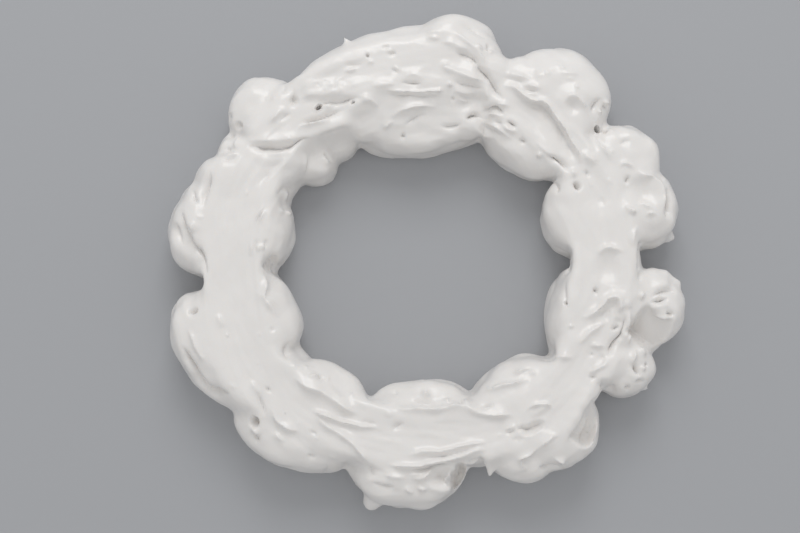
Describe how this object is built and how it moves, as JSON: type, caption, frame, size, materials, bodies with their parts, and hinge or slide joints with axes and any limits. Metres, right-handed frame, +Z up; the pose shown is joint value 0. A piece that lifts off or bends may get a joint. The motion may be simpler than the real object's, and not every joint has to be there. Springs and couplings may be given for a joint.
{
  "type": "meringue wreath",
  "caption": "Unbaked meringue wreath: glossy white dollops in a ring, joined by spatula strokes, with an open middle.",
  "frame": {"origin": "on the surface it lies on, under the middle of its outline", "axes": "+Z up, +X towards the right side and +Y towards the back, where the longest spatula stroke lies"},
  "size_m": [0.2618, 0.2505, 0.0413],
  "materials": {
    "meringue": "wet glossy whipped egg white and sugar, unbaked"
  },
  "bodies": {
    "root": {"meringue_ring": "meringue"}
  },
  "joints": []
}
